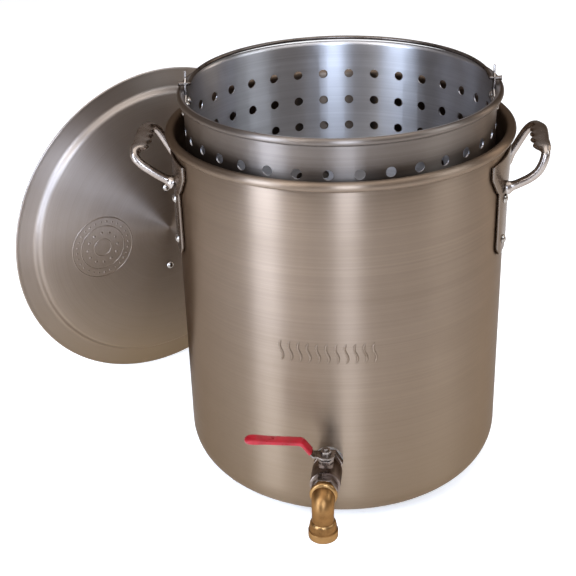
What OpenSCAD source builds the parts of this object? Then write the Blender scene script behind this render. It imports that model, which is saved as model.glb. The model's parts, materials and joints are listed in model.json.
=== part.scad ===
// Boiling pot kit: a spun aluminium stock pot with a drain valve, a perforated lift-out basket
// with a wire bail, and a domed lid that stands on its rim behind the pot.
// Units are millimetres. The origin is the centre of the pot's flat base, +Z is up, and the
// drain valve points along -Y.

/* [Pot] */
// Outer diameter of the pot's wall
pot_d = 408; // [400:2:420]
// Height of the pot to the top of its rolled rim
pot_h = 460; // [452:2:470]
// Thickness of the pot's wall and base
pot_t = 2.5; // [2:0.5:3]
// Outer radius of the corner between the pot's wall and base
pot_corner = 50; // [46:1:54]
// Radius of the rolled bead around the pot's rim
pot_bead_r = 5.8; // [5:0.1:6]

/* [Basket] */
// Outer diameter of the basket's wall
basket_d = 377; // [374:1:378]
// Height of the basket's rim above the ground
basket_top = 504; // [500:1:510]
// Thickness of the basket's wall and floor
basket_t = 1.5; // [1.2:0.1:1.6]
// Diameter of each perforation
hole_d = 12; // [9:1:13]
// Number of perforations in each row round the wall
holes_round = 34; // [28:1:34]
// Number of rows of perforations up the wall
hole_rows = 11; // [8:1:11]
// Vertical distance between rows
row_pitch = 36.3; // [34:0.1:36.5]
// Height of the top row of perforations above the ground
top_row_z = 460.6; // [455:0.1:462]

/* [Lid] */
// Outer diameter of the lid's flange
lid_d = 464; // [450:2:470]
// Thickness of the lid's sheet
lid_t = 2; // [1.5:0.5:2.5]
// Height of the step between the flange and the crown
lid_step = 9; // [7:1:10]
// Height of the crown's apex above the flange
lid_apex = 22; // [19:1:24]
// Angle by which the stood-up lid leans forward, towards its outer face
lid_lean = 3.2; // [2:0.1:4]
// Direction that the stood-up lid faces, as degrees from -Y towards +X
lid_turn = 42.6; // [38:0.1:46]

/* [Handles] */
// Direction of the right handle, in degrees round the pot from +X
handle_right_az = -1; // [-4:0.5:4]
// Direction of the left handle, in degrees round the pot from +X
handle_left_az = 186; // [180:0.5:188]
// Reach of the grip's centre line from the pot's axis
grip_reach = 241; // [238:1:246]
// Height of the grip's centre line
grip_z = 441; // [438:1:444]

/* [Drain valve] */
// Height of the drain line above the ground
valve_z = 101; // [98:1:106]
// Distance of the valve stem from the pot's axis
stem_s = 243; // [242:1:248]
// Bore of the drain line
drain_bore = 15; // [13:0.5:16]
// Length of the lever from the stem to its tip
lever_len = 96; // [90:1:100]

/* [Bail] */
// Diameter of the bail's wire
bail_d = 5; // [4.5:0.1:5.2]
// Direction of the bail's hinge line, in degrees round the basket from +X
ear_az = 5; // [0:1:10]

/* [Hidden] */
$fn = 96;

pot_r = pot_d / 2;
pot_in_r = pot_r - pot_t;
basket_r = basket_d / 2;
basket_in_r = basket_r - basket_t;
lid_r = lid_d / 2;
basket_bead_r = 4.6;
row_start_az = 6;         // azimuth of the first perforation in each row
floor_ring_step = 26;     // radial distance between rings of holes in the basket's floor

rivet_r = 2.5;
rivet_hole_r = 2.6;
rivet_head_r = 6;
rivet_drill_len = 20;     // long enough to pass right through a wall and what is riveted to it

// Pot handles
leg_az = 13.4;            // angle between a handle's middle and each leg
leg_r = 6.5;
leg_y = 46;               // sideways distance of a leg from the handle's middle
grip_r = 8;
plate_t = 4;
plate_top_z = 436;
plate_end_z = 312;
rivet_z = [381, 328];

// Drain line, as distances s from the pot's axis along -Y
pipe_r = 10.6;            // half-inch pipe thread, outside
pipe_fit_r = 10.65;
pipe_socket = 8;          // length of pipe inside a socket
locknut_r = 17.5;
seal_r = 17;
inner_nut_s = 193.5;
inner_seal_s = 199.5;
outer_seal_end_s = 207;
body_s = 215;             // inlet face of the valve body
barrel_end_s = stem_s + 17;
cap_end_s = stem_s + 27;
barrel_r = 18;
hex_r = 15.6;             // 27 mm across flats
ball_r = 12;
cavity_r = 13;
cavity_half = 14;         // half the length of the space for the ball and its seats
seat_half = 8.5;          // distance of each seat's inner face from the stem
seat_gap = 0.3;
seat_r = cavity_r - 0.05;
stem_r = 4;
stem_hole_r = stem_r + 0.3;
packing_r = 5.95;
neck_r = 9;
neck_h = 22;              // height of the valve's neck above the drain line
bore_r = drain_bore / 2;

// Elbow and its outlet collar
elbow_s = stem_s + 47;
elbow_r = 13.4;
elbow_bend = 15;
elbow_bore_r = 8;
elbow_spigot_r = 11;      // the elbow's outlet thread, inside the collar
collar_top_z = valve_z - 34;
collar_end_z = valve_z - 50;
collar_r = 17.6;
outlet_r = 9.3;

// Lever
lever_w = 14;
lever_t = 2.5;
sleeve_t = 1.4;

// Basket ears and bail
ear_t = 2;
ear_half = 16;                       // half the width of an ear where it meets the wall
ear_gap = 0.2;                       // space between an ear's edges and the curved wall
ear_x = sqrt(pow(basket_in_r - ear_gap, 2) - pow(ear_half, 2)) - ear_t; // inner face of an ear
bail_z = basket_top + 4;
bail_r = bail_d / 2;
bail_fit = 0.06;
bail_half = ear_x - bail_r - 0.4;    // half the bail's span, inside the ears
bail_depth = basket_r + bail_r + 2;  // reach of the bail's bow, which lies on the rim
ear_rivets = [[-8, 484], [8, 484], [0, 471]];

// Lid
lid_plug_r = 200;
lid_rivet_y = 63;
lid_pad_y = 58;
lid_pad_r = 13;
lid_pad_z = 12;           // face of the pads that the legs stand on
lid_leg_r = 5.5;
lid_grip_z = -20;
lid_back = [-280, 197];              // where the lid stands, as the point under its centre

// ---- Shared shapes -------------------------------------------------------------------

// Half section of a spun vessel: flat floor, round corner, straight wall.
module vessel_profile(r, bottom, top, corner, t) {
    translate([0, bottom]) square([r - corner, t]);
    translate([r - corner, bottom + corner]) intersection() {
        difference() {
            circle(corner);
            circle(corner - t);
        }
        translate([0, -corner]) square(corner);
    }
    translate([r - t, bottom + corner]) square([t, top - bottom - corner]);
}

// A vessel with a rolled bead round the outside of its rim.
module spun_vessel(r, bottom, top, corner, t, bead) {
    rotate_extrude() {
        vessel_profile(r, bottom, top - bead, corner, t);
        translate([r - t + bead, top - bead]) circle(bead);
    }
}

// Turns a shape drawn along +Z so that it runs outward along the drain line.
module along_drain() {
    translate([0, 0, valve_z]) rotate([90, 0, 0]) children();
}

// A ring about the local Z axis from z0 to z1.
module ring(r_out, r_in, z0, z1) {
    difference() {
        translate([0, 0, z0]) cylinder(r = r_out, h = z1 - z0);
        translate([0, 0, z0 - 1]) cylinder(r = r_in, h = z1 - z0 + 2);
    }
}

// A hexagonal prism with a bore. The corner radius is given, and a flat faces +Y.
module hex_ring(r_corner, r_in, z0, z1) {
    difference() {
        translate([0, 0, z0]) cylinder(r = r_corner, h = z1 - z0, $fn = 6);
        translate([0, 0, z0 - 1]) cylinder(r = r_in, h = z1 - z0 + 2);
    }
}

// A rivet along +X: its shank spans x0 to x1, with a domed head at each end.
module rivet(x0, x1) {
    rotate([0, 90, 0]) rotate_extrude() {
        translate([0, x0]) square([rivet_r, x1 - x0]);
        translate([0, x1]) rivet_dome();
        translate([0, x0]) mirror([0, 1]) rivet_dome();
    }
}

// Half section of a domed rivet head that sits on the line y = 0.
module rivet_dome() {
    intersection() {
        translate([0, -3]) circle(6.7);
        square([rivet_head_r, 5]);
    }
}

// ---- Pot -----------------------------------------------------------------------------

// Places children at the four rivet positions of the handle at azimuth az.
module at_handle_rivets(az) {
    for (leg = [-leg_az, leg_az], z = rivet_z)
        rotate([0, 0, az + leg]) translate([0, 0, z]) children();
}

// A drill through a wall of radius r, along +X.
module rivet_drill(r) {
    translate([r - rivet_drill_len / 2, 0, 0]) rotate([0, 90, 0])
        cylinder(r = rivet_hole_r, h = rivet_drill_len);
}

module pot_shell() {
    color("#b9b2aa") difference() {
        spun_vessel(pot_r, 0, pot_h, pot_corner, pot_t, pot_bead_r);
        along_drain() translate([0, 0, pot_r - 20]) cylinder(r = pipe_fit_r, h = 40);
        for (az = [handle_right_az, handle_left_az])
            at_handle_rivets(az) rivet_drill(pot_r);
    }
}

// The foot under one leg: a shield at the top that narrows to a strap.
module foot_outline() {
    top = 45;
    strap = 21;
    polygon([[-top, plate_top_z], [-top, 420], [-strap, 393], [-strap, plate_end_z + 10],
        [-strap + 9, plate_end_z], [strap - 9, plate_end_z], [strap, plate_end_z + 10],
        [strap, 393], [top, 420], [top, plate_top_z]]);
}

module foot_plate() {
    intersection() {
        ring(pot_r + plate_t, pot_r, plate_end_z - 5, plate_top_z + 5, $fn = 360);
        translate([pot_r - 40, 0, 0]) rotate([90, 0, 90]) linear_extrude(60) foot_outline();
    }
}

// The grip, a turned bar along Y with four finger swells. Its ends are inside the legs.
module grip() {
    translate([grip_reach, 0, grip_z]) rotate([90, 0, 0]) rotate_extrude() {
        translate([0, -leg_y]) square([grip_r, 2 * leg_y]);
        for (k = [-1.5:1:1.5]) translate([0, k * 20]) intersection() {
            circle(grip_r + 1.5);
            translate([0, -20]) square(40);
        }
    }
}

// A flat strip of half-width r that runs from a through b to c, with square ends.
module bent_strip(a, b, c, r) {
    u = left_of(b - a) / norm(b - a);
    v = left_of(c - b) / norm(c - b);
    mitre = (u + v) / (1 + u * v);
    polygon([a + r * u, b + r * mitre, c + r * v, c - r * v, b - r * mitre, a - r * u]);
}

function left_of(v) = [-v[1], v[0]];

// Side view of a leg: out from the pot, then up past the grip's centre line.
module leg_outline() {
    bent_strip([pot_r - 6, 398], [230, 409], [grip_reach + 2, grip_z + 6], leg_r);
}

// A cast loop handle with finger grooves, drawn at azimuth 0.
module pot_handle() {
    difference() {
        union() {
            grip();
            for (side = [-1, 1]) {
                rotate([0, 0, side * leg_az]) foot_plate();
                translate([0, side * leg_y + leg_r, 0]) rotate([90, 0, 0])
                    linear_extrude(2 * leg_r) leg_outline();
            }
        }
        cylinder(r = pot_r, h = pot_h, $fn = 360);
        at_handle_rivets(0) rivet_drill(pot_r);
    }
}

module handle_right() {
    color("#a8a39d") rotate([0, 0, handle_right_az]) pot_handle();
}

module handle_left() {
    color("#a8a39d") rotate([0, 0, handle_left_az]) pot_handle();
}

module handle_rivets(az) {
    color("#c8c4bf") at_handle_rivets(az) rivet(pot_in_r - 0.4, pot_r + plate_t);
}

module handle_rivets_right() {
    handle_rivets(handle_right_az);
}

module handle_rivets_left() {
    handle_rivets(handle_left_az);
}

// ---- Drain line, fixed pieces --------------------------------------------------------

module drain_nipple() {
    color("#b08d57") along_drain() ring(pipe_r, bore_r, inner_nut_s, body_s + 10);
}

module inner_locknut() {
    color("#b08d57") along_drain() hex_ring(locknut_r, pipe_fit_r, inner_nut_s, inner_seal_s);
}

// Soft washer that fills the space between the nut and the pot's curved inner wall.
module inner_seal() {
    color("#d9d4cc") intersection() {
        along_drain() ring(seal_r, pipe_fit_r, inner_seal_s, pot_r);
        cylinder(r = pot_in_r, h = pot_h, $fn = 360);
    }
}

module outer_seal() {
    color("#d9d4cc") difference() {
        along_drain() ring(seal_r, pipe_fit_r, pot_r - 5, outer_seal_end_s);
        cylinder(r = pot_r, h = pot_h, $fn = 360);
    }
}

module outer_locknut() {
    color("#b9b4ad") along_drain() hex_ring(locknut_r, pipe_fit_r, outer_seal_end_s, body_s);
}

module valve_body() {
    color("#8f8882") difference() {
        union() {
            along_drain() {
                translate([0, 0, body_s]) cylinder(r = hex_r, h = 12, $fn = 6);
                rotate_extrude() polygon([[0, body_s + 6], [12, body_s + 6],
                    [barrel_r, stem_s - cavity_half], [barrel_r, barrel_end_s], [0, barrel_end_s]]);
            }
            translate([0, -stem_s, valve_z]) cylinder(r = neck_r, h = neck_h);
        }
        along_drain() {
            translate([0, 0, body_s - 1]) cylinder(r = pipe_fit_r, h = 11);
            translate([0, 0, body_s]) cylinder(r = bore_r, h = 20);
            translate([0, 0, stem_s - cavity_half]) cylinder(r = cavity_r, h = 60);
        }
        translate([0, -stem_s, valve_z]) cylinder(r = stem_hole_r, h = 40);
        translate([0, -stem_s, valve_z + neck_h - 5]) cylinder(r = 6, h = 10);
    }
}

module valve_end_cap() {
    color("#8f8882") along_drain() difference() {
        union() {
            translate([0, 0, barrel_end_s - 5]) cylinder(r = cavity_r, h = 6);
            translate([0, 0, barrel_end_s]) cylinder(r = hex_r, h = cap_end_s - barrel_end_s, $fn = 6);
        }
        translate([0, 0, barrel_end_s - 10]) cylinder(r = bore_r, h = 40);
        translate([0, 0, cap_end_s - pipe_socket]) cylinder(r = pipe_fit_r, h = 20);
    }
}

// Two soft rings that the ball turns against.
module seat_rings() {
    color("white") along_drain() difference() {
        union() {
            ring(seat_r, bore_r, stem_s - cavity_half, stem_s - seat_half);
            ring(seat_r, bore_r, stem_s + seat_half, barrel_end_s - 5);
        }
        translate([0, 0, stem_s]) sphere(ball_r + seat_gap);
    }
}

module stem_packing() {
    color("white") translate([0, -stem_s, valve_z])
        ring(packing_r, stem_r + 0.06, neck_h - 5, neck_h - 2);
}

module packing_nut() {
    color("#a39a8e") translate([0, -stem_s, valve_z]) {
        ring(packing_r, stem_hole_r, neck_h - 2, neck_h);
        hex_ring(neck_r + 0.2, stem_hole_r, neck_h, neck_h + 5);
    }
}

// The elbow's curved centre line with radius r, run on past both of its ends by lead.
module elbow_path(r, lead) {
    along_drain() translate([0, 0, cap_end_s - lead])
        cylinder(r = r, h = elbow_s - elbow_bend - cap_end_s + lead);
    translate([0, -elbow_s + elbow_bend, valve_z - elbow_bend]) rotate([90, 0, -90])
        rotate_extrude(angle = 90) translate([elbow_bend, 0]) circle(r);
    translate([0, -elbow_s, collar_top_z - lead])
        cylinder(r = r, h = valve_z - elbow_bend - collar_top_z + lead);
}

module drain_elbow() {
    color("#b5813c") difference() {
        union() {
            elbow_path(elbow_r, 0);
            along_drain() {
                translate([0, 0, cap_end_s - 7]) cylinder(r = pipe_r, h = 8);
                translate([0, 0, cap_end_s]) cylinder(r = elbow_r + 3, h = 10);
            }
            translate([0, -elbow_s, collar_top_z]) cylinder(r = elbow_r + 2, h = 7);
            translate([0, -elbow_s, collar_top_z - 5]) cylinder(r = elbow_spigot_r, h = 6);
        }
        elbow_path(elbow_bore_r, 10);
    }
}

module outlet_collar() {
    color("#b5813c") translate([0, -elbow_s, 0]) {
        ring(collar_r, elbow_spigot_r + 0.05, collar_top_z - 5, collar_top_z);
        ring(collar_r, outlet_r, collar_end_z, collar_top_z - 5);
    }
}

// ---- Valve lever and what turns with it ----------------------------------------------

module valve_ball() {
    color("#d0d0d0") translate([0, -stem_s, valve_z]) difference() {
        sphere(ball_r);
        rotate([0, 90, 0]) translate([0, 0, -20]) cylinder(r = bore_r, h = 40);
        translate([-20, -1.6, 9]) cube([40, 3.2, 10]);
    }
}

module valve_stem() {
    color("#b7b1a8") translate([0, -stem_s, valve_z]) {
        translate([-3.5, -1.5, 9.1]) cube([7, 3, 4]);
        translate([0, 0, 12.4]) cylinder(r = stem_r, h = 17.6);
        translate([0, 0, 30]) cylinder(r = 3, h = 11);
    }
}

// Side view of the lever: a flat hub, a rise, and a level run to the tip.
module lever_profile(grow, start) {
    polygon([[start, 30 - grow], [start, 32.5 + grow], [-15 - grow, 32.5 + grow],
        [-29, 50 + grow], [-lever_len + 4, 50 + grow], [-lever_len + 4, 47.5 - grow],
        [-28, 47.5 - grow], [-15, 30 - grow]]);
}

module lever_arm() {
    color("#9a948d") translate([0, -stem_s, valve_z]) difference() {
        union() {
            translate([0, lever_w / 2, 0]) rotate([90, 0, 0]) linear_extrude(lever_w) lever_profile(0, 0);
            translate([0, 0, 30]) cylinder(r = 11, h = lever_t);
        }
        translate([0, 0, 20]) cylinder(r = 3.05, h = 20);
    }
}

// Soft sleeve over the lever, open where the arm enters it.
module lever_sleeve() {
    w = lever_w + 2 * sleeve_t;
    color("#b3202c") translate([0, -stem_s, valve_z]) difference() {
        union() {
            intersection() {
                translate([0, w / 2, 0]) rotate([90, 0, 0]) linear_extrude(w)
                    lever_profile(sleeve_t, -10);
                translate([-lever_len + 2, -20, 0]) cube([lever_len - 20, 40, 80]);
            }
            translate([-lever_len + w / 2, 0, 47.5 - sleeve_t])
                cylinder(r = w / 2, h = lever_t + 2 * sleeve_t);
        }
        translate([0, lever_w / 2, 0]) rotate([90, 0, 0]) linear_extrude(lever_w) lever_profile(0, 0);
    }
}

module lever_nut() {
    color("#cfcac3") translate([0, -stem_s, valve_z]) hex_ring(6.5, 3.02, 32.5, 38);
}

// ---- Basket --------------------------------------------------------------------------

module wall_holes() {
    for (row = [0:hole_rows - 1], k = [0:holes_round - 1])
        rotate([0, 0, row_start_az + k * 360 / holes_round])
            translate([basket_in_r - 5, 0, top_row_z - row * row_pitch])
                rotate([0, 90, 0]) cylinder(d = hole_d, h = 12, $fn = 24);
}

module floor_holes() {
    for (i = [1:5], k = [0:6 * i - 1])
        rotate([0, 0, k * 60 / i]) translate([i * floor_ring_step, 0, 0])
            cylinder(d = hole_d, h = 10, $fn = 24);
}

module basket_shell() {
    color("#b4b0b4") difference() {
        spun_vessel(basket_r, pot_t, basket_top, 38, basket_t, basket_bead_r);
        wall_holes();
        floor_holes();
        for (side = [0, 180], p = ear_rivets)
            rotate([0, 0, ear_az + side]) translate([0, p[0], p[1]])
                rivet_drill(basket_in_r);
    }
}

// A riveted ear: a shield below the rim, a neck, and a pointed tip above the eye.
module ear() {
    translate([ear_x, 0, 0]) difference() {
        rotate([90, 0, 90]) linear_extrude(ear_t) polygon([[-ear_half, 490], [-ear_half, 481], [-6, 464],
            [6, 464], [ear_half, 481], [ear_half, 490], [7, 496], [7, 512], [2.2, 515], [1.6, 524],
            [-1.6, 524], [-2.2, 515], [-7, 512], [-7, 496]]);
        translate([-5, 0, bail_z]) rotate([0, 90, 0]) cylinder(r = bail_r + bail_fit, h = 10);
        for (p = ear_rivets) translate([0, p[0], p[1]]) rivet_drill(0);
    }
}

module basket_ears() {
    color("#cdc9c4") for (side = [0, 180]) rotate([0, 0, ear_az + side]) ear();
}

module ear_rivets() {
    color("#dedbd6") for (side = [0, 180], p = ear_rivets)
        rotate([0, 0, ear_az + side]) translate([0, p[0], p[1]]) rivet(ear_x, basket_r + 0.3);
}

// ---- Bail ----------------------------------------------------------------------------

module bail_wire() {
    bow_y = bail_depth - bail_half;
    color("#8d8780") rotate([0, 0, ear_az]) translate([0, 0, bail_z]) {
        translate([0, bow_y, 0]) rotate_extrude(angle = 180) translate([bail_half, 0])
            circle(bail_r);
        for (side = [-1, 1]) {
            translate([side * bail_half, 0, 0]) rotate([-90, 0, 0]) cylinder(r = bail_r, h = bow_y);
            translate([side * bail_half, 0, 0]) sphere(bail_r);
            translate([side * bail_half, 0, 0]) rotate([0, side * 90, 0]) cylinder(r = bail_r, h = 18);
            translate([side * (bail_half + 18), 0, 0]) sphere(bail_r + 0.8);
        }
    }
}

// ---- Lid -----------------------------------------------------------------------------

// Stands the lid, drawn flat with its crown up, on its rim behind the pot.
module stood_up() {
    centre_z = lid_r * cos(lid_lean) + lid_t * sin(lid_lean);
    translate([lid_back[0], lid_back[1], centre_z]) rotate([90 + lid_lean, 0, lid_turn])
        children();
}

// Half section of the lid's outer surface, filled down to the plane z0.
module lid_fill(drop, z0) {
    polygon([[0, z0], [lid_r, z0], [lid_r, lid_t - drop], [lid_plug_r + 5 - drop, lid_t - drop],
        [lid_plug_r - drop, lid_step + lid_t - drop], [0, lid_apex + lid_t - drop]]);
}

module lid_shell() {
    color("#b3aba3") stood_up() difference() {
        rotate_extrude() difference() {
            lid_fill(0, 0);
            polygon([[0, -1], [lid_plug_r + 3, -1], [lid_plug_r + 3, 0],
                [lid_plug_r - lid_t, lid_step], [0, lid_apex]]);
        }
        lid_rivet_holes();
    }
}

module lid_rivet_holes() {
    for (side = [-1, 1]) translate([0, side * lid_rivet_y, 0]) cylinder(r = rivet_hole_r, h = 30);
}

// Side view of one leg of the lid's handle: out from its pad, then in to the grip.
module lid_leg_outline() {
    bent_strip([50, lid_pad_z + 5], [42, lid_grip_z + 6], [34, lid_grip_z], lid_leg_r);
}

// A low loop handle in the lid's hollow side, with a round pad under each end.
module lid_handle() {
    color("#a8a39d") stood_up() difference() {
        union() {
            for (side = [0, 180]) rotate([0, 0, side]) {
                translate([0, lid_pad_y, lid_pad_z]) cylinder(r = lid_pad_r, h = 12);
                translate([-lid_leg_r, 0, 0]) rotate([90, 0, 90])
                    linear_extrude(2 * lid_leg_r) lid_leg_outline();
            }
            translate([0, 36, lid_grip_z]) rotate([90, 0, 0]) cylinder(r = lid_leg_r + 1, h = 72);
        }
        rotate_extrude() polygon([[0, lid_apex], [lid_plug_r - lid_t, lid_step],
            [lid_plug_r - lid_t, 40], [0, 40]]);
        lid_rivet_holes();
    }
}

module lid_rivets() {
    color("#c8c4bf") stood_up() for (side = [-1, 1])
        translate([0, side * lid_rivet_y, 0]) rotate([0, -90, 0]) rivet(lid_pad_z, 20.4);
}

pot_shell();
handle_right();
handle_left();
handle_rivets_right();
handle_rivets_left();
drain_nipple();
inner_locknut();
inner_seal();
outer_seal();
outer_locknut();
valve_body();
valve_end_cap();
seat_rings();
stem_packing();
packing_nut();
drain_elbow();
outlet_collar();
valve_ball();
valve_stem();
lever_arm();
lever_sleeve();
lever_nut();
basket_shell();
basket_ears();
ear_rivets();
bail_wire();
lid_shell();
lid_handle();
lid_rivets();
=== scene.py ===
import json
import math

import bmesh
import bpy
from mathutils import Matrix, Vector


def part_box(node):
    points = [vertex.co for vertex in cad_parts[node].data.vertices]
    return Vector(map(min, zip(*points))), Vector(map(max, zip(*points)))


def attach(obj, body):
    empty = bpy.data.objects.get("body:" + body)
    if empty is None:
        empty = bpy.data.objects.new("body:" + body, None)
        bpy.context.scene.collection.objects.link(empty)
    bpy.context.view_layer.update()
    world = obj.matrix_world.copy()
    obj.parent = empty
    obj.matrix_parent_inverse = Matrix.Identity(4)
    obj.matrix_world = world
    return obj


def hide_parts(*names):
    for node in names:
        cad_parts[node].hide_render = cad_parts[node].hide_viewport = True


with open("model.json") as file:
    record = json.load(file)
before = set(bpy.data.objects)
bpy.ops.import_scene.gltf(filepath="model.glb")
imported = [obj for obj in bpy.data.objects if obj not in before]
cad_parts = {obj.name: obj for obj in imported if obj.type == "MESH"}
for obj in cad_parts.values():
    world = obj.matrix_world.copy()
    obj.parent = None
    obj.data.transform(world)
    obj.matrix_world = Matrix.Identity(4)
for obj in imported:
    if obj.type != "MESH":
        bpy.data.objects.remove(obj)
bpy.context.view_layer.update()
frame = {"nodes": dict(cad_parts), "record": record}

MM = 0.001
NODES = frame["nodes"]
RECORD = frame["record"]


# ---- Where things are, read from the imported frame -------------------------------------

def mid(node):
    lo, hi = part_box(node)
    return (lo + hi) / 2


def bearing(node):
    """Direction of a node round the pot's axis, from the mean of its points."""
    co = [v.co for v in NODES[node].data.vertices]
    return math.atan2(sum(c.y for c in co), sum(c.x for c in co))


_, pot_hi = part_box("pot_shell")
lid_lo, lid_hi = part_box("lid_shell")
COLLAR_LO, COLLAR_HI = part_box("outlet_collar")
POT_BEAD = 5.8 * MM                              # radius of the rim's rolled bead
POT_SHEET = 2.5 * MM
POT_R = pot_hi.x - 2 * POT_BEAD + POT_SHEET      # outer radius of the pot's wall
POT_H = pot_hi.z
POT_CORNER = 50 * MM                             # radius between the base and the wall
STEM_Y = mid("valve_stem").y
DRAIN_Z = mid("drain_nipple").z
ELBOW_Y = mid("outlet_collar").y

LID_SHEET = 2 * MM
LID_R = 232 * MM
LID_STEP_R = 200 * MM       # the crown inside the flange
LID_STEP = 9 * MM           # how far the crown's edge stands off the flange
LID_APEX = 22 * MM          # and how far its middle does
LID_SLOPE = (LID_APEX - LID_STEP) / LID_STEP_R
LID_TURN = math.radians(42.6)
LID_LEAN = math.radians(3.2)
LID_TILT = (Matrix.Rotation(LID_TURN, 4, "Z")
            @ Matrix.Rotation(math.pi / 2 + LID_LEAN, 4, "X"))
LID_AXIS = LID_TILT @ Vector((0, 0, 1))
LID_FRAME = Matrix.Translation((lid_lo + lid_hi) / 2 - LID_AXIS * LID_SHEET / 2) @ LID_TILT


# ---- Materials --------------------------------------------------------------------------

GRAZING = (0.58, 0.53, 0.49, 1)     # what a metal reflects at a grazing angle
MOST_NOISE = (0.35, 0.65)           # where most values of a noise lie
MOST_BLEND = (0.38, 0.62)           # and of two noises in equal parts
X_AXIS, Y_AXIS, Z_AXIS = range(3)


class Nodes:
    """A small helper that builds one material's node tree."""

    def __init__(self, name):
        self.mat = bpy.data.materials.new(name)
        self.mat.use_nodes = True
        self.tree = self.mat.node_tree
        self.bsdf = self.tree.nodes["Principled BSDF"]

    def add(self, kind, **values):
        """A node, with each value set on its property or else on its socket."""
        node = self.tree.nodes.new(kind)
        for key, value in values.items():
            if hasattr(node, key):
                setattr(node, key, value)
            else:
                node.inputs[key].default_value = value
        return node

    def link(self, a, b):
        self.tree.links.new(a, b)

    def set(self, values):
        """Constants on the shader's own sockets."""
        for key, value in values.items():
            self.bsdf.inputs[key].default_value = value

    def surface(self, colour, rough, normal):
        self.link(colour, self.bsdf.inputs["Base Color"])
        self.link(rough, self.bsdf.inputs["Roughness"])
        self.link(normal, self.bsdf.inputs["Normal"])

    def coords(self, scale=(1, 1, 1)):
        tex = self.add("ShaderNodeTexCoord")
        mapping = self.add("ShaderNodeMapping", Scale=scale)
        self.link(tex.outputs["Object"], mapping.inputs["Vector"])
        return mapping.outputs["Vector"]

    def noise(self, vector, scale, detail=3.0, rough=0.55):
        node = self.add("ShaderNodeTexNoise", Scale=scale, Detail=detail, Roughness=rough)
        self.link(vector, node.inputs["Vector"])
        return node.outputs["Fac"]

    def remap(self, value, lo, hi, source):
        """Takes source's two ends to lo and hi, clamped."""
        node = self.add("ShaderNodeMapRange")
        for key, limit in zip(("From Min", "From Max", "To Min", "To Max"), (*source, lo, hi)):
            node.inputs[key].default_value = limit
        self.link(value, node.inputs["Value"])
        return node.outputs["Result"]

    def math(self, op, a, b):
        node = self.add("ShaderNodeMath", operation=op)
        for socket, value in zip(node.inputs, (a, b)):
            if isinstance(value, (int, float)):
                socket.default_value = value
            else:
                self.link(value, socket)
        return node.outputs["Value"]

    def weighted(self, *terms):
        """The sum of (value, weight) terms."""
        total = self.math("MULTIPLY", *terms[0])
        if len(terms) > 1:
            total = self.math("ADD", total, self.weighted(*terms[1:]))
        return total

    def mix(self, fac, a, b):
        """Colour a where fac is 0 and colour b where it is 1."""
        node = self.add("ShaderNodeMix", data_type="RGBA")
        colour_a, colour_b, colour_out = node.inputs[6], node.inputs[7], node.outputs[2]
        self.link(fac, node.inputs["Factor"])
        for socket, value in ((colour_a, a), (colour_b, b)):
            if isinstance(value, tuple):
                socket.default_value = (*value, 1)
            else:
                self.link(value, socket)
        return colour_out

    def bump(self, height, strength, distance):
        node = self.add("ShaderNodeBump", Strength=strength, Distance=distance)
        self.link(height, node.inputs["Height"])
        return node.outputs["Normal"]

    def edge_wear(self):
        """Factor that rises on convex edges."""
        geo = self.add("ShaderNodeNewGeometry")
        return self.remap(geo.outputs["Pointiness"], 0, 1, (0.52, 0.60))

    def split(self, output="Object"):
        """The x, y and z of the object's own coordinates, or of its own normal."""
        tex = self.add("ShaderNodeTexCoord")
        sep = self.add("ShaderNodeSeparateXYZ")
        self.link(tex.outputs[output], sep.inputs["Vector"])
        return [sep.outputs[k] for k in "XYZ"]

    def dot(self, x, y, other_x, other_y):
        return self.math("ADD", self.math("MULTIPLY", x, other_x),
                         self.math("MULTIPLY", y, other_y))

    def distance(self, x, y):
        """Distance from the local Z axis."""
        return self.math("SQRT", self.dot(x, y, x, y), 0.0)

    def inside(self):
        """Factor that is 1 on faces that look towards the local Z axis."""
        (x, y, _), (nx, ny, _) = self.split(), self.split("Normal")
        return self.remap(self.dot(x, y, nx, ny), 1, 0, (-0.02, 0.02))

    def radius_coords(self, ring_scale, angle_scale):
        """Coordinates that run fast away from the local Z axis and slowly round it."""
        x, y, z = self.split()
        along = self.math("ADD", self.distance(x, y), z)
        comb = self.add("ShaderNodeCombineXYZ")
        for key, value, scale in (("X", along, ring_scale), ("Y", x, angle_scale),
                                  ("Z", y, angle_scale)):
            self.link(self.math("MULTIPLY", value, scale), comb.inputs[key])
        return comb.outputs["Vector"]


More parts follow.
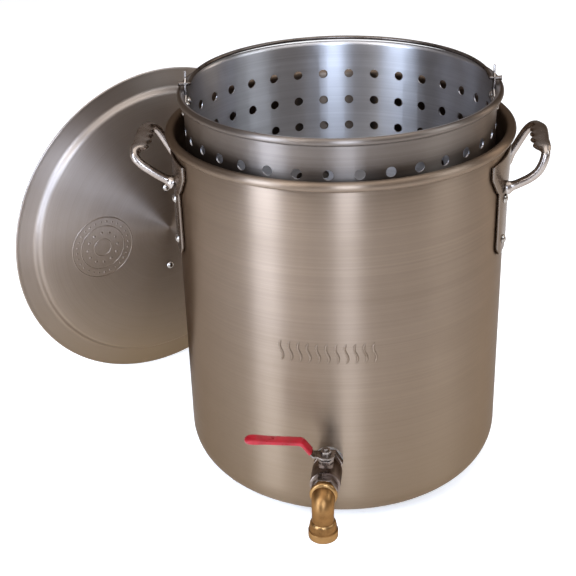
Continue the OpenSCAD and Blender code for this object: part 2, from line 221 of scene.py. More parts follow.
def spun_metal(name, light, dark, rough, aniso, grain="wall", painted_light_tints=(), inner=None):
    """Sheet metal turned on a lathe: fine rings round the axis, soft clouds, rougher specks,
    and painted light.

    grain is "wall" for rings up a wall, or "disc" for rings about a centre.
    The painted light tints are (axis, full, none, amount, colour): painted shade, highlights
    and reflections that fade out along an axis.
    inner is (light, dark) for the side that faces the axis: a painted highlight that makes the
    inside lighter.
    """
    n = Nodes(name)
    if grain == "wall":
        fine_coords, broad_coords = n.coords((1.6, 1.6, 420)), n.coords((0.8, 0.8, 45))
    else:
        fine_coords, broad_coords = n.radius_coords(520, 0.9), n.radius_coords(55, 0.5)
    fine = n.noise(fine_coords, 1.0, 4.0, 0.7)
    broad = n.noise(broad_coords, 1.0)
    cloud = n.noise(n.coords(), 5.5, 4.0)
    speck = n.noise(n.coords(), 260.0, 2.0)
    tone = n.weighted((fine, 0.35), (broad, 0.15), (cloud, 0.4))
    shade = n.remap(tone, 0, 1, (0.36, 0.68))
    colour = n.mix(shade, dark, light)
    # painted highlight: the side that faces the axis is painted lighter
    if inner:
        colour = n.mix(n.inside(), colour, n.mix(shade, inner[1], inner[0]))
    # painted light: each tint is painted shade, a painted highlight or a painted reflection,
    # fading out along an axis
    for axis, full, none, amount, tint in painted_light_tints:
        level = n.weighted((n.split()[axis], 1), (cloud, 0.06))
        colour = n.mix(n.remap(level, amount, 0, (full, none)), colour, tint)
    wear = n.weighted((fine, 0.5), (cloud, 0.35), (speck, 0.15))
    height = n.weighted((fine, 0.8), (broad, 0.4))
    n.surface(colour, n.remap(wear, rough * 0.88, rough * 1.14, MOST_NOISE),
              n.bump(height, 0.18, 0.00012))
    tangent = n.add("ShaderNodeTangent", direction_type="RADIAL", axis="Z")
    n.link(tangent.outputs["Tangent"], n.bsdf.inputs["Tangent"])
    n.set({"Metallic": 1, "Specular Tint": GRAZING, "Anisotropic": aniso,
           "Anisotropic Rotation": 0.25})
    return n.mat


def cast_metal(name, light, dark, rough, pit=0.3, scale=90, edge=None, painted_shade=None):
    """Cast, plated or turned metal: mottled colour, fine pits, and worn edges in edge's colour.

    Painted shade is given as (inner, outer, colour): a darker tint that fades out between two
    distances from the Z axis.
    """
    n = Nodes(name)
    coords = n.coords()
    cloud = n.noise(coords, scale * 0.35, 5.0, 0.6)
    fine = n.noise(coords, scale * 7)
    colour = n.mix(n.remap(cloud, 0, 1, MOST_NOISE), dark, light)
    if edge:
        colour = n.mix(n.edge_wear(), colour, edge)
    # painted shade: darker near the pot's wall
    if painted_shade:
        inner, outer, tint = painted_shade
        x, y, _ = n.split()
        colour = n.mix(n.remap(n.distance(x, y), 0.85, 0, (inner, outer)), colour, tint)
    wear = n.weighted((cloud, 0.6), (fine, 0.4))
    height = n.weighted((cloud, 1), (fine, 0.5))
    n.surface(colour, n.remap(wear, rough * 0.7, rough * 1.35, MOST_NOISE),
              n.bump(height, pit, 0.0003))
    n.set({"Metallic": 1, "Specular Tint": GRAZING})
    return n.mat


def brushed_metal(name, light, dark, rough, grain_scale):
    """Drawn or brushed metal, with straight grain along the axis of the lowest scale."""
    n = Nodes(name)
    grain = n.noise(n.coords(grain_scale), 1.0, 4.0, 0.7)
    cloud = n.noise(n.coords(), 60, 4.0)
    tone = n.weighted((grain, 0.5), (cloud, 0.5))
    n.surface(n.mix(n.remap(tone, 0, 1, MOST_BLEND), dark, light),
              n.remap(tone, rough * 0.75, rough * 1.3, MOST_BLEND),
              n.bump(grain, 0.25, 0.0002))
    n.set({"Metallic": 1, "Specular Tint": GRAZING})
    return n.mat


def dielectric(name, light, dark, rough, scale, pit, coat=0.0, subsurface=0.0):
    """Plastic, rubber or vinyl: slight mottling, a soft skin, faint scuffs."""
    n = Nodes(name)
    cloud = n.noise(n.coords(), scale, 4.0)
    scuff = n.noise(n.coords((60, 500, 500)), 1.0, 3.0, 0.7)
    colour = n.mix(n.remap(cloud, 0, 1, MOST_NOISE), dark, light)
    wear = n.weighted((cloud, 0.5), (scuff, 0.5))
    height = n.weighted((cloud, 1), (scuff, 0.3))
    n.surface(colour, n.remap(wear, rough * 0.75, rough * 1.4, MOST_NOISE),
              n.bump(height, pit, 0.0003))
    n.set({"Specular IOR Level": 0.32, "Coat Weight": coat, "Coat Roughness": 0.15})
    if subsurface:
        n.set({"Subsurface Weight": subsurface, "Subsurface Scale": 0.002})
    return n.mat


# Painted light: a painted reflection of a brown floor low on the pot, painted shade on the
# lid's brown lower half, and a painted highlight on its paler top
POT_PAINTED_FLOOR_REFLECTION = (Z_AXIS, 0.03, 0.31, 0.7, (0.205, 0.143, 0.086))
LID_PAINTED_SHADE = (Y_AXIS, -0.20, 0.07, 0.85, (0.225, 0.152, 0.080))
LID_PAINTED_HIGHLIGHT = (Y_AXIS, 0.20, 0.02, 0.25, (0.60, 0.54, 0.50))
# Painted shade: the handles' feet, next to the pot's wall, are darker than the loops
FOOT_PAINTED_SHADE = (0.2085, 0.2125, (0.13, 0.10, 0.078))

LOOKS = {
    "spun_aluminium": (spun_metal, dict(
        light=(0.283, 0.212, 0.158), dark=(0.193, 0.142, 0.103), rough=0.385, aniso=0.92,
        # the pot's warm lower part is a painted reflection of a brown floor
        painted_light_tints=[POT_PAINTED_FLOOR_REFLECTION])),
    "lid_aluminium": (spun_metal, dict(
        light=(0.40, 0.335, 0.29), dark=(0.29, 0.238, 0.20), rough=0.41, aniso=0.88,
        # the lid's brown lower half is painted shade, and its paler top a painted highlight
        grain="disc", painted_light_tints=[LID_PAINTED_SHADE, LID_PAINTED_HIGHLIGHT])),
    "basket_aluminium": (spun_metal, dict(
        light=(0.24, 0.20, 0.172), dark=(0.155, 0.127, 0.107), rough=0.38, aniso=0.90,
        # the basket's lighter inside is a painted highlight
        inner=((0.63, 0.61, 0.61), (0.45, 0.43, 0.43)))),
    "cast_aluminium": (cast_metal, dict(
        light=(0.34, 0.30, 0.27), dark=(0.16, 0.13, 0.11), rough=0.25, pit=0.2, scale=90,
        edge=(0.62, 0.58, 0.55))),
    "cast_handle": (cast_metal, dict(
        light=(0.37, 0.315, 0.275), dark=(0.235, 0.19, 0.16), rough=0.25, pit=0.08, scale=60,
        edge=(0.60, 0.56, 0.52), painted_shade=FOOT_PAINTED_SHADE)),
    "rivet_aluminium": (cast_metal, dict(
        light=(0.40, 0.36, 0.325), dark=(0.25, 0.22, 0.19), rough=0.22, pit=0.10, scale=160)),
    "yellow_brass": (cast_metal, dict(
        light=(0.62, 0.44, 0.19), dark=(0.45, 0.30, 0.11), rough=0.27, pit=0.15, scale=120)),
    "cast_brass": (cast_metal, dict(
        light=(0.245, 0.122, 0.042), dark=(0.115, 0.054, 0.018), rough=0.34, pit=0.30,
        scale=110, edge=(0.44, 0.26, 0.105))),
    "plated_brass": (cast_metal, dict(
        light=(0.20, 0.150, 0.125), dark=(0.085, 0.060, 0.047), rough=0.30, pit=0.35,
        scale=130, edge=(0.42, 0.36, 0.32))),
    "plated_steel": (brushed_metal, dict(
        light=(0.30, 0.255, 0.225), dark=(0.14, 0.115, 0.098), rough=0.27,
        grain_scale=(60, 900, 900))),
    "chromed_ball": (cast_metal, dict(
        light=(0.85, 0.85, 0.86), dark=(0.74, 0.74, 0.75), rough=0.08, pit=0.05, scale=200)),
    "wire_steel": (brushed_metal, dict(
        light=(0.17, 0.14, 0.12), dark=(0.09, 0.072, 0.06), rough=0.30,
        grain_scale=(30, 30, 900))),
    "red_vinyl": (dielectric, dict(
        light=(0.33, 0.007, 0.016), dark=(0.21, 0.003, 0.008), rough=0.30, scale=70, pit=0.25,
        coat=0.12)),
    "silicone": (dielectric, dict(
        light=(0.24, 0.205, 0.175), dark=(0.17, 0.145, 0.122), rough=0.55, scale=90, pit=0.2,
        subsurface=0.1)),
    "ptfe": (dielectric, dict(
        light=(0.90, 0.90, 0.87), dark=(0.82, 0.81, 0.77), rough=0.42, scale=90, pit=0.1,
        subsurface=0.1)),
}
MATS = {name: make(name, **look) for name, (make, look) in LOOKS.items()}
SLOT_OF = {s["node"]: s["material_slot"] for s in RECORD["subparts"]}
BODY_OF = {n: b for b, nodes in RECORD["behaviour"]["bodies"].items() for n in nodes}
for node_name, cad in NODES.items():
    for material_slot in cad.material_slots:
        material_slot.material = MATS[SLOT_OF[node_name]]


# ---- Mesh helpers -----------------------------------------------------------------------

def finish_piece(obj, slot, body, nodes=(), matrix=None, smooth_angle=40, look=None):
    bpy.context.scene.collection.objects.link(obj)
    if matrix is not None:
        obj.matrix_world = matrix
    obj.data.materials.clear()
    obj.data.materials.append(MATS[look or slot])
    for poly in obj.data.polygons:
        poly.use_smooth = True
    obj.data.set_sharp_from_angle(angle=math.radians(smooth_angle))
    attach(obj, body)
    if nodes:
        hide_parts(*nodes)
    return obj


def mesh_object(name, bm):
    bmesh.ops.remove_doubles(bm, verts=bm.verts, dist=1e-6)
    bmesh.ops.recalc_face_normals(bm, faces=bm.faces)
    mesh = bpy.data.meshes.new(name)
    bm.to_mesh(mesh)
    bm.free()
    return bpy.data.objects.new(name, mesh)


def taken_mesh(obj):
    """A helper object's mesh as a bmesh. The object goes."""
    bm = bmesh.new()
    bm.from_mesh(obj.data)
    bpy.data.objects.remove(obj)
    return bm


def join(name, parts):
    """One object from several bmeshes."""
    whole = bmesh.new()
    for part in parts:
        mesh = bpy.data.meshes.new("part")
        part.to_mesh(mesh)
        part.free()
        whole.from_mesh(mesh)
        bpy.data.meshes.remove(mesh)
    return mesh_object(name, whole)


def turns(count):
    """Angles evenly round a full turn."""
    return [2 * math.pi * k / count for k in range(count)]


def arc(cx, cz, r, start, end, count):
    angles = [math.radians(start + (end - start) * k / count) for k in range(count + 1)]
    return [(cx + r * math.cos(a), cz + r * math.sin(a)) for a in angles]


def skin(bm, rings, closed=False):
    """Faces from each ring of vertices to the next, with end caps unless it is closed."""
    for ring, after in zip(rings, rings[1:] + (rings[:1] if closed else [])):
        for k in range(len(ring)):
            j = (k + 1) % len(ring)
            corners = []
            for v in (ring[k], ring[j], after[j], after[k]):
                if v not in corners:
                    corners.append(v)
            if len(corners) > 2:
                bm.faces.new(corners)
    if not closed:
        bm.faces.new(rings[0])
        bm.faces.new(rings[-1])
    return bm


def lathe(name, profile, segments=288, centre=(0, 0)):
    """A closed profile of (radius, height), turned about the vertical through centre."""
    bm = bmesh.new()
    cx, cy = centre
    rings = []
    for r, z in profile:
        if r < 1e-7:
            rings.append([bm.verts.new((cx, cy, z))] * segments)
        else:
            rings.append([bm.verts.new((cx + r * math.cos(a), cy + r * math.sin(a), z))
                          for a in turns(segments)])
    return mesh_object(name, skin(bm, rings, closed=True))


def spline(points, per_span):
    """Catmull-Rom curve through the points."""
    pts = [Vector(p) for p in points]
    ext = [2 * pts[0] - pts[1]] + pts + [2 * pts[-1] - pts[-2]]
    out = []
    for i in range(1, len(ext) - 2):
        a, b, c, d = ext[i - 1:i + 3]
        for k in range(per_span):
            t = k / per_span
            out.append(0.5 * ((2 * b) + (c - a) * t + (2 * a - 5 * b + 4 * c - d) * t * t
                              + (3 * b - a - 3 * c + d) * t ** 3))
    return out + [pts[-1]]


def heading(path, i):
    """Unit direction of the path at its point i."""
    return (path[min(i + 1, len(path) - 1)] - path[max(i - 1, 0)]).normalized()


def sweep(path, section, side, steps=28):
    """Sweeps section(t, angle) -> (across, up) along the path. side is across's direction."""
    bm = bmesh.new()
    rings = []
    for i, p in enumerate(path):
        ahead = heading(path, i)
        across = (side - ahead * side.dot(ahead)).normalized()
        up = across.cross(ahead)
        ring = []
        for angle in turns(steps):
            a, b = section(i / (len(path) - 1), angle)
            ring.append(bm.verts.new(p + across * a + up * b))
        rings.append(ring)
    return skin(bm, rings)


def add_bevel(obj, width, angle):
    bevel = obj.modifiers.new("bevel", "BEVEL")
    bevel.width = width
    bevel.segments = 3
    bevel.limit_method = "ANGLE"
    bevel.angle_limit = math.radians(angle)


def apply_modifiers(obj):
    bpy.context.view_layer.update()
    depsgraph = bpy.context.evaluated_depsgraph_get()
    mesh = bpy.data.meshes.new_from_object(obj.evaluated_get(depsgraph))
    obj.modifiers.clear()
    obj.data = mesh


def refined(node, width):
    """A machined piece from its CAD solid, with its sharp edges broken."""
    bm = bmesh.new()
    bm.from_mesh(NODES[node].data)
    bmesh.ops.remove_doubles(bm, verts=bm.verts, dist=2e-6)
    bmesh.ops.dissolve_limit(bm, angle_limit=math.radians(1), verts=bm.verts, edges=bm.edges)
    obj = mesh_object(node + "_piece", bm)
    bpy.context.scene.collection.objects.link(obj)
    add_bevel(obj, width, 32)
    apply_modifiers(obj)
    bpy.context.scene.collection.objects.unlink(obj)
    return finish_piece(obj, SLOT_OF[node], BODY_OF[node], (node,), smooth_angle=35)


# ---- Pot --------------------------------------------------------------------------------

def pot_wall():
    """Flat base, rounded corner, straight wall, and a bead rolled outwards at the rim."""
    corner_x, inner_r = POT_R - POT_CORNER, POT_R - POT_SHEET
    bead_r, bead_z = inner_r + POT_BEAD, POT_H - POT_BEAD
    wall_top = bead_z - 5 * MM
    profile = [(0, 0), (corner_x - 6 * MM, 0)]
    profile += arc(corner_x, POT_CORNER, POT_CORNER, -90, 0, 18)
    profile += [(POT_R, POT_CORNER + (wall_top - POT_CORNER) * k / 6) for k in range(1, 7)]
    profile += arc(bead_r, bead_z, POT_BEAD, -126, 180, 26)
    profile += [(inner_r, bead_z - (bead_z - POT_CORNER) * k / 6) for k in range(1, 6)]
    profile += arc(corner_x, POT_CORNER, POT_CORNER - POT_SHEET, 0, -90, 18)
    profile += [(0, POT_SHEET)]
    finish_piece(lathe("pot_wall", profile), "spun_aluminium", "pot", ("pot_shell",))


def heat_strokes():
    """A plain row of raised wavy strokes on the pot's front, above the valve."""
    strokes, pitch, sway = 11, 3.1, 0.010       # pitch in degrees, sway in radians
    foot, tall = 132 * MM, 26 * MM              # above the drain
    half_wide, lift, relief = 1.5 * MM, 0.1 * MM, 0.8
    samples = 16

    def section(t, a):
        taper = min(1, math.sin(math.pi * (0.04 + 0.92 * t)) * 2.2)     # at both ends
        size = half_wide * taper
        return size * math.cos(a), relief * size * math.sin(a)
    parts = []
    for s in range(strokes):
        middle = math.radians(-90 + (s - (strokes - 1) / 2) * pitch)
        path = []
        for k in range(samples + 1):
            t = k / samples
            a = middle + sway * math.sin(2 * math.pi * t)
            r = POT_R + lift
            path.append(Vector((r * math.cos(a), r * math.sin(a), DRAIN_Z + foot + tall * t)))
        parts.append(sweep(path, section, Vector((-math.sin(middle), math.cos(middle), 0))))
    finish_piece(join("heat_strokes", parts), "spun_aluminium", "pot")


pot_wall()
heat_strokes()


# ---- Pot handles ------------------------------------------------------------------------

FOOT_BEARING = math.radians(13.4)       # of each leg, either side of the handle's middle


def foot_plate(name, leg_bearing):
    """A foot on the pot's wall: a wide head with sloping lower edges, and a strap below it."""
    top, rib, notch, low = 436 * MM, 414 * MM, 393 * MM, 312 * MM
    half, strap = 45 * MM, 21 * MM          # half the width of the head and of the strap
    wing_rise, strap_flat = 27 * MM, 12 * MM
    stand_off, thick, rounding = 4 * MM, 3.9 * MM, 1.3 * MM
    ys = [-half, -39 * MM, -33 * MM, -27 * MM, -strap, -17 * MM, -12 * MM, -6 * MM, 0]
    ys += [-y for y in reversed(ys[:-1])]

    def heights(y):
        """From the lower edge up: four in the strap's width, and three in the wings."""
        y = abs(y)
        if y < strap + 1e-6:
            return [low + max(0, y - strap_flat) * 10 / 9, notch, rib, top]
        edge = notch + wing_rise * ((y - strap) / (half - strap)) ** 1.35
        return [edge, (edge + top) / 2, top]

    bm = bmesh.new()
    columns = []
    for y in ys:
        a, r = leg_bearing + y / POT_R, POT_R + stand_off
        columns.append([bm.verts.new((r * math.cos(a), r * math.sin(a), z))
                        for z in heights(y)])
    for a, b in zip(columns, columns[1:]):
        rows = min(len(a), len(b))
        a, b = a[-rows:], b[-rows:]
        for k in range(rows - 1):
            bm.faces.new((a[k], b[k], b[k + 1], a[k + 1]))
    obj = mesh_object(name, bm)
    bpy.context.scene.collection.objects.link(obj)
    solid = obj.modifiers.new("solid", "SOLIDIFY")
    solid.thickness = thick
    solid.offset = -1
    add_bevel(obj, rounding, 40)
    apply_modifiers(obj)
    return taken_mesh(obj)


# Centre lines of half a handle, in mm, from the pot's wall up to the grip
BOWED_LEG = [
    (203, 47, 394.5), (212, 47.5, 398), (222, 48, 403), (231, 48, 408.5), (239, 47.5, 416),
    (244, 46.5, 426), (246.5, 43.5, 435.5), (246, 37, 440), (243.5, 28, 441.5), (242, 13, 442)]
STRAIGHT_LEG = [
    (203, 47, 401), (212, 47.5, 406), (222, 48, 412.5), (231, 48, 419), (239.5, 47.5, 425.5),
    (245.5, 45.5, 431.5), (248, 42, 437), (246.5, 36, 440.3), (243.5, 28, 441.5),
    (242, 13, 442)]
STEEP_LEG = [
    (203, 47, 392), (209, 47.5, 401), (215, 48, 411), (221, 48.5, 422), (227.5, 48.5, 433),
    (233.5, 47, 439.5), (239, 43, 442), (242, 35, 442.3), (242, 26, 442.4), (242, 13, 442.6)]
GRIP_MIDDLE = (242, 0, 442.4)


def handle(name, node, rivets, near, front_leg):
    """A cast loop: two round legs and a wide grip with finger scallops on its inner edge.

    near is the sign of local y on the side towards -Y, which has front_leg.
    """
    leg_r, grip_wider, grip_thinner = 5.4 * MM, 4.6 * MM, 0.6 * MM
    grip_half, scallop_pitch = 40 * MM, 18.5 * MM
    scallop_depth, scallop_shift = 2.0 * MM, 0.4 * MM
    root_x, root_run, root_flare = 204 * MM, 4.5 * MM, 3.2 * MM
    steps = 32
    points = [(x, near * y, z) for x, y, z in front_leg] + [GRIP_MIDDLE]
    points += [(x, -near * y, z) for x, y, z in reversed(STEEP_LEG)]
    path = spline([Vector(p) * MM for p in points], 8)
    outwards = Vector((1, 0, 0.1))
    bm = bmesh.new()
    rings = []
    for i, p in enumerate(path):
        ahead = heading(path, i)
        across = (outwards - ahead * outwards.dot(ahead)).normalized()
        up = ahead.cross(across)
        grip = max(0, 1 - (abs(p.y) / grip_half) ** 6)
        wave = math.cos(2 * math.pi * (p.y / scallop_pitch + 0.5))
        scallop = (wave * scallop_depth + scallop_shift) * grip
        flare = root_flare * math.exp(-((p.x - root_x) / root_run) ** 2)
        wide = leg_r + grip_wider * grip + flare
        thick = leg_r - grip_thinner * grip + flare
        ring = []
        for a in turns(steps):
            inward = max(0, -math.cos(a)) ** 1.5
            ring.append(bm.verts.new(p + across * (wide * math.cos(a) - scallop * inward)
                                     + up * thick * math.sin(a)))
        rings.append(ring)
    feet = [foot_plate(name + "_foot", sign * FOOT_BEARING) for sign in (-1, 1)]
    obj = join(name, [skin(bm, rings)] + feet)
    obj.data.transform(Matrix.Rotation(bearing(rivets), 4, "Z"))
    finish_piece(obj, "cast_aluminium", "pot", (node,), smooth_angle=38, look="cast_handle")


handle("handle_right_piece", "handle_right", "handle_rivets_right", -1, BOWED_LEG)
handle("handle_left_piece", "handle_left", "handle_rivets_left", 1, STRAIGHT_LEG)


# ---- Machined pieces, with the width of their broken edges in mm ------------------------

for machined, edge_width in (("outer_locknut", 0.7), ("inner_locknut", 0.6),
                             ("valve_body", 1.0), ("valve_end_cap", 0.7),
                             ("packing_nut", 0.5), ("lever_nut", 0.5), ("lever_arm", 0.5),
                             ("basket_ears", 0.4)):
    refined(machined, edge_width * MM)


# ---- Drain line -------------------------------------------------------------------------

def drain_elbow():
    """A cast brass street elbow: threaded inlet, ringed shoulder, bend, drop to the collar."""
    _, elbow_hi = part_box("drain_elbow")
    bend, barrel_r, bulge = 15 * MM, 13.1 * MM, 0.5 * MM
    start = elbow_hi.y - 7 * MM         # where the pipe's sweep starts, under the band
    path = [Vector((0, start - d * MM, DRAIN_Z)) for d in (0, 2, 4)]
    path += [Vector((0, ELBOW_Y + bend, DRAIN_Z - bend))
             + bend * Vector((0, -math.sin(t), math.cos(t)))
             for t in (math.radians(5 * k) for k in range(19))]
    bend_end, foot = path[-1].z, COLLAR_HI.z - 4 * MM
    path += [Vector((0, ELBOW_Y, bend_end + (foot - bend_end) * k / 5)) for k in range(1, 6)]

    def section(t, a):
        r = barrel_r + bulge * math.sin(math.pi * min(1, t * 1.25)) ** 2
        return r * math.cos(a), r * math.sin(a)
    parts = [sweep(path, section, Vector((1, 0, 0)))]
    # a few turns of thread show before the elbow's shoulder
    thread_turns, thread_pitch, root_r, crest_r, bore_r = 4, 1.3, 12.1, 12.9, 9
    band = [(bore_r, 0)]
    for turn in range(thread_turns):
        band += [(root_r, turn * thread_pitch), (crest_r, (turn + 0.5) * thread_pitch)]
    band += [(12.2, 5.2), (13.4, 5.9), (15.4, 6.5), (16.3, 7.3), (16.4, 9.2), (15.6, 10.4),
             (13.6, 11.4), (bore_r, 11.4)]
    ring = lathe("band", [(r * MM, z * MM) for r, z in band], 96)
    ring.data.transform(Matrix.Translation((0, start, DRAIN_Z))
                        @ Matrix.Rotation(math.pi / 2, 4, "X"))
    parts.append(taken_mesh(ring))
    finish_piece(join("elbow_piece", parts), "cast_brass", "pot", ("drain_elbow",))


def outlet_collar():
    """A ring at the foot, a groove above it, and a shoulder up round the elbow."""
    low, top = COLLAR_LO.z, COLLAR_HI.z
    bore = 9.3
    from_low = [(bore, 0), (16.0, 0), (17.1, 0.5), (17.6, 1.4), (17.6, 9.6), (17.3, 10.4),
                (16.1, 11.0), (16.0, 11.4), (16.2, 12.4)]
    from_top = [(16.2, -1.2), (15.7, 0), (15.5, 3.0), (14.9, 4.6), (13.5, 6.0), (bore, 6.0)]
    profile = [(r * MM, low + z * MM) for r, z in from_low]
    profile += [(r * MM, top + z * MM) for r, z in from_top]
    finish_piece(lathe("collar_piece", profile, 96, (0, ELBOW_Y)), "cast_brass", "pot",
                 ("outlet_collar",))


drain_elbow()
outlet_collar()


# ---- Lever sleeve -----------------------------------------------------------------------

def lever_sleeve():
    """A dipped vinyl sleeve: a flat rounded section with a wider, softly bulbed end."""
    sleeve_lo, sleeve_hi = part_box("lever_sleeve")
    _, arm_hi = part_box("lever_arm")
    run = arm_hi.z - 1.25 * MM          # height of the arm's straight run
    tip, mouth = sleeve_lo.x, sleeve_hi.x
    from_mouth = [(0.3, -13.2), (-3.5, -8.2), (-7.2, -3.2), (-10.8, -0.4), (-16, 0), (-30, 0),
                  (-50, 0)]
    from_tip = [14, 7, 2.6, 0.2]
    points = [Vector((mouth + x * MM, STEM_Y, run + z * MM)) for x, z in from_mouth]
    points += [Vector((tip + x * MM, STEM_Y, run)) for x in from_tip]
    path = spline(points, 6)
    last = len(path) - 1
    half_wide, half_tall, squareness = 8.0 * MM, 2.65 * MM, 3.2
    rounded_run, bulb_place, bulb_run = 7.5 * MM, 13 * MM, 9 * MM       # from the tip
    bulb_wider, bulb_taller = 0.5 * MM, 0.75 * MM

    def section(t, a):
        from_end = path[round(t * last)].x - tip
        end = min(1, max(0, from_end / rounded_run))
        close = math.sqrt(max(0.0, 1 - (1 - end) ** 2))
        bulb = math.exp(-((from_end - bulb_place) / bulb_run) ** 2)
        wide = (half_wide + bulb_wider * bulb) * max(0.05, close)
        tall = (half_tall + bulb_taller * bulb) * max(0.12, close ** 0.8)
        ca, sa = math.cos(a), math.sin(a)
        p = 2 / squareness
        return wide * math.copysign(abs(ca) ** p, ca), tall * math.copysign(abs(sa) ** p, sa)
    obj = join("sleeve_piece", [sweep(path, section, Vector((0, 1, 0)))])
    finish_piece(obj, "red_vinyl", "lever", ("lever_sleeve",), smooth_angle=60)


lever_sleeve()


# ---- Bail -------------------------------------------------------------------------------

def bail():
    """A wire bow: short headed ends through the ears, then round the back of the rim."""
    hinge = next(j for j in RECORD["behaviour"]["joints"] if j["name"] == "bail_swing")
    half, bow, wire_r = 181.2 * MM, 11.8 * MM, 2.5 * MM
    side = [(half + 13 * MM, 0), (half + 6 * MM, 0), (half + 1.2 * MM, 0.4 * MM),
            (half, 2.4 * MM), (half, 7 * MM)]
    round_back = [(half * math.cos(a), bow + half * math.sin(a))
                  for a in (math.pi * k / 24 for k in range(25))]
    points = side + round_back + [(-x, y) for x, y in reversed(side)]
    path = spline([Vector((x, y, 0)) for x, y in points], 6)

    def section(t, a):
        headed = min(t, 1 - t) < 0.004
        r = wire_r * (1.3 if headed else 1)
        return r * math.cos(a), r * math.sin(a)
    obj = mesh_object("bail_piece", sweep(path, section, Vector((0, 0, 1))))
    turn = math.atan2(hinge["axis"][1], hinge["axis"][0])
    obj.data.transform(Matrix.Translation(hinge["pos_m"]) @ Matrix.Rotation(turn, 4, "Z"))
    finish_piece(obj, "wire_steel", "bail", ("bail_wire",))


bail()


# ---- Lid, drawn flat in its own frame and then stood up ----------------------------------

def lid_wall():
    """Flange with a rolled hem, a rounded step, and a shallow cone."""
    t, r, s = LID_SHEET, LID_R, LID_STEP_R
    crown, step = LID_APEX + t, LID_STEP + t
    outer = [(0, crown - 0.25 * MM), (3 * MM, crown - 0.32 * MM)]
    outer += [(k * s / 12, crown - (LID_APEX - LID_STEP) * k / 12) for k in range(1, 12)]
    outer += [(s - 3.5 * MM, step + 0.15 * MM), (s - 1.2 * MM, step - 0.3 * MM),
              (s + 0.6 * MM, step - 1.7 * MM), (s + 2.4 * MM, t + 4.2 * MM),
              (s + 3.6 * MM, t + 1.6 * MM), (s + 5.2 * MM, t + 0.4 * MM), (s + 8 * MM, t)]
    outer += [(r - 6 * MM, t), (r - 3.4 * MM, t - 0.05 * MM)]
    hem = arc(r - 1.5 * MM, 0.9 * MM, 1.45 * MM, 100, -95, 10)
    under = [(r - 4 * MM, 0), (s + 4.2 * MM, 0), (s + 2.2 * MM, 0.8 * MM),
             (s - 0.4 * MM, LID_STEP - 1.6 * MM), (s - 3.6 * MM, LID_STEP + 0.1 * MM),
             (0, LID_APEX)]
    finish_piece(lathe("lid_piece", outer + hem + under), "lid_aluminium", "lid",
                 ("lid_shell",), LID_FRAME)


def lid_emblem():
    """Plain concentric rings and beads raised on the crown."""
    cx, cy = -107 * MM, -3 * MM
    rings_mm = ((46, 0.75), (33, 0.6), (13, 0.6))           # radius, size
    beads_mm = ((28, 39.5, 1.5), (12, 23, 1.9))             # count, radius, size
    ring_half_wide, ring_half_tall, bead_tall = 1.2, 0.5, 0.3   # as parts of the size

    def on_crown(radius, a):
        x, y = cx + radius * math.cos(a), cy + radius * math.sin(a)
        return Vector((x, y, LID_APEX + LID_SHEET - LID_SLOPE * math.hypot(x, y)))
    parts = []
    for radius, size in rings_mm:
        bm = bmesh.new()
        rings = []
        for a in turns(96):
            out = Vector((math.cos(a), math.sin(a), 0)) * ring_half_wide * size * MM
            rise = Vector((0, 0, ring_half_tall * size * MM))
            rings.append([bm.verts.new(on_crown(radius * MM, a) + out * math.cos(b)
                                       + rise * math.sin(b)) for b in turns(12)])
        parts.append(skin(bm, rings, closed=True))
    for count, radius, size in beads_mm:
        for a in turns(count):
            bm = bmesh.new()
            bmesh.ops.create_uvsphere(bm, u_segments=12, v_segments=8, radius=size * MM)
            flatten = Matrix.Diagonal((1, 1, bead_tall, 1))
            place = Matrix.Translation(on_crown(radius * MM, a))
            bmesh.ops.transform(bm, matrix=place @ flatten, verts=bm.verts)
            parts.append(bm)
    finish_piece(join("lid_emblem", parts), "lid_aluminium", "lid", (), LID_FRAME)


def lid_handle():
    """A low cast loop in the lid's hollow side, on two round pads."""
    pad_z, pad_y = 12 * MM, 58 * MM
    side = [(0, 50, 16), (0, 49.5, 8), (0, 48, 0), (0, 45, -8), (0, 40, -15), (0, 32, -19),
            (0, 20, -20), (0, 8, -20)]
    half = [Vector(p) * MM for p in side]
    path = spline(half + [Vector((p.x, -p.y, p.z)) for p in reversed(half)], 8)

    def section(t, a):
        r = (5.4 + 1.0 * math.sin(math.pi * t) ** 4) * MM       # thicker in the middle
        return r * math.cos(a), r * math.sin(a)
    parts = [sweep(path, section, Vector((1, 0, 0)))]
    crown = LID_APEX - LID_SLOPE * pad_y
    pad = [(0, pad_z), (10.6 * MM, pad_z), (12.2 * MM, pad_z + 0.6 * MM),
           (13 * MM, pad_z + 2 * MM), (13 * MM, crown - 0.9 * MM), (0, crown - 0.2 * MM)]
    for sign in (-1, 1):
        parts.append(taken_mesh(lathe("pad", pad, 48, (0, sign * pad_y))))
    finish_piece(join("lid_handle_piece", parts), "cast_aluminium", "lid", ("lid_handle",),
                 LID_FRAME)


lid_wall()
lid_emblem()
lid_handle()


# ---- Floor and world --------------------------------------------------------------------

FLOOR_HALF = 28         # metres
FLOOR_DROP = 0.4 * MM   # just under the object, so that the two faces don't fight


def paper_material():
    paper = Nodes("paper")
    cloud = paper.noise(paper.coords(), 1.5, 2.0)
    paper.link(paper.mix(cloud, (0.90, 0.90, 0.89), (0.93, 0.93, 0.92)),
               paper.bsdf.inputs["Base Color"])
    paper.set({"Roughness": 0.9, "Emission Color": (1, 1, 1, 1), "Emission Strength": 0.4})
    return paper.mat


floor_mesh = bpy.data.meshes.new("floor")
floor_bm = bmesh.new()
bmesh.ops.create_grid(floor_bm, x_segments=1, y_segments=1, size=FLOOR_HALF)
floor_bm.to_mesh(floor_mesh)
floor_bm.free()
floor_mesh.materials.append(paper_material())
floor = bpy.data.objects.new("floor", floor_mesh)
floor.location = (0, 0, -FLOOR_DROP)
bpy.context.scene.collection.objects.link(floor)


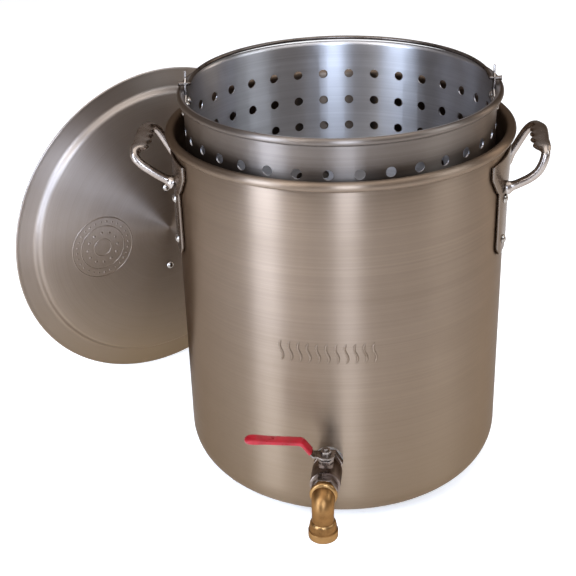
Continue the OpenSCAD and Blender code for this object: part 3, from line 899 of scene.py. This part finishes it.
def studio_world():
    """A warm dark room low down, and a pale ceiling above."""
    world = bpy.data.worlds.new("studio")
    bpy.context.scene.world = world
    world.use_nodes = True
    tree = world.node_tree
    background = tree.nodes["Background"]
    background.inputs["Strength"].default_value = 0.75
    coord = tree.nodes.new("ShaderNodeTexCoord")
    split = tree.nodes.new("ShaderNodeSeparateXYZ")
    ramp = tree.nodes.new("ShaderNodeValToRGB")
    tree.links.new(coord.outputs["Generated"], split.inputs["Vector"])
    tree.links.new(split.outputs["Z"], ramp.inputs["Fac"])
    tree.links.new(ramp.outputs["Color"], background.inputs["Color"])
    room, ceiling = ramp.color_ramp.elements
    room.position, room.color = 0.0, (0.26, 0.20, 0.155, 1)
    ceiling.position, ceiling.color = 0.85, (0.62, 0.62, 0.66, 1)


studio_world()


# ---- Lights and camera ------------------------------------------------------------------

AIM = (0, 0, 0.25)
WHITE, WINDOW_BLUE = (1, 1, 1), (0.62, 0.76, 1.0)
# name, place, target, size in metres, power in watts, colour
SOFTBOXES = (
    ("overhead", (0.1, -0.2, 2.9), AIM, (3.0, 3.0), 50, WHITE),
    ("window_left", (-1.64, -1.71, 0.95), AIM, (0.8, 1.9), 60, WINDOW_BLUE),
    ("window_front", (0.42, -2.67, 1.35), AIM, (0.65, 1.4), 54, WINDOW_BLUE),
    ("high_left", (-0.88, -1.5, 1.9), AIM, (0.6, 0.6), 10, (0.92, 0.95, 1.0)),
    ("high_right", (1.93, -0.32, 1.52), (-0.28, 0.2, 0.4), (0.9, 0.9), 13, (0.8, 0.9, 1.0)),
    ("back_right", (1.9, 1.2, 1.2), AIM, (0.6, 1.4), 6, (1.0, 0.93, 0.85)),
)
for light_name, place, target, size, power, colour in SOFTBOXES:
    light = bpy.data.lights.new(light_name, "AREA")
    light.shape = "RECTANGLE"
    light.size, light.size_y = size
    light.energy = power
    light.color = colour
    lamp = bpy.data.objects.new(light_name, light)
    lamp.location = place
    aim_line = Vector(target) - Vector(place)
    lamp.rotation_euler = aim_line.to_track_quat("-Z", "Y").to_euler()
    bpy.context.scene.collection.objects.link(lamp)


def studio_camera():
    """Stands where the photograph was taken from, turned and rolled by small angles."""
    data = bpy.data.cameras.new("camera")
    data.sensor_width = 36
    data.lens = 77.77
    data.shift_y = 0.055
    data.clip_end = 60
    camera = bpy.data.objects.new("camera", data)
    bpy.context.scene.collection.objects.link(camera)
    station, target = Vector((0.1193, -1.4505, 0.9582)), Vector((0, 0, 0.1836))
    yaw, roll = -0.043, -0.0099
    forward = (target - station).normalized()
    right = forward.cross(Vector((0, 0, 1))).normalized()
    above = right.cross(forward)
    turned = math.cos(yaw) * forward + math.sin(yaw) * right
    level = math.cos(yaw) * right - math.sin(yaw) * forward
    x_axis = math.cos(roll) * level + math.sin(roll) * above
    y_axis = -math.sin(roll) * level + math.cos(roll) * above
    rotation = Matrix((x_axis, y_axis, -turned)).transposed()
    camera.matrix_world = Matrix.Translation(station) @ rotation.to_4x4()
    bpy.context.scene.camera = camera


studio_camera()
bpy.context.scene.view_settings.view_transform = "Standard"

bpy.context.view_layer.update()
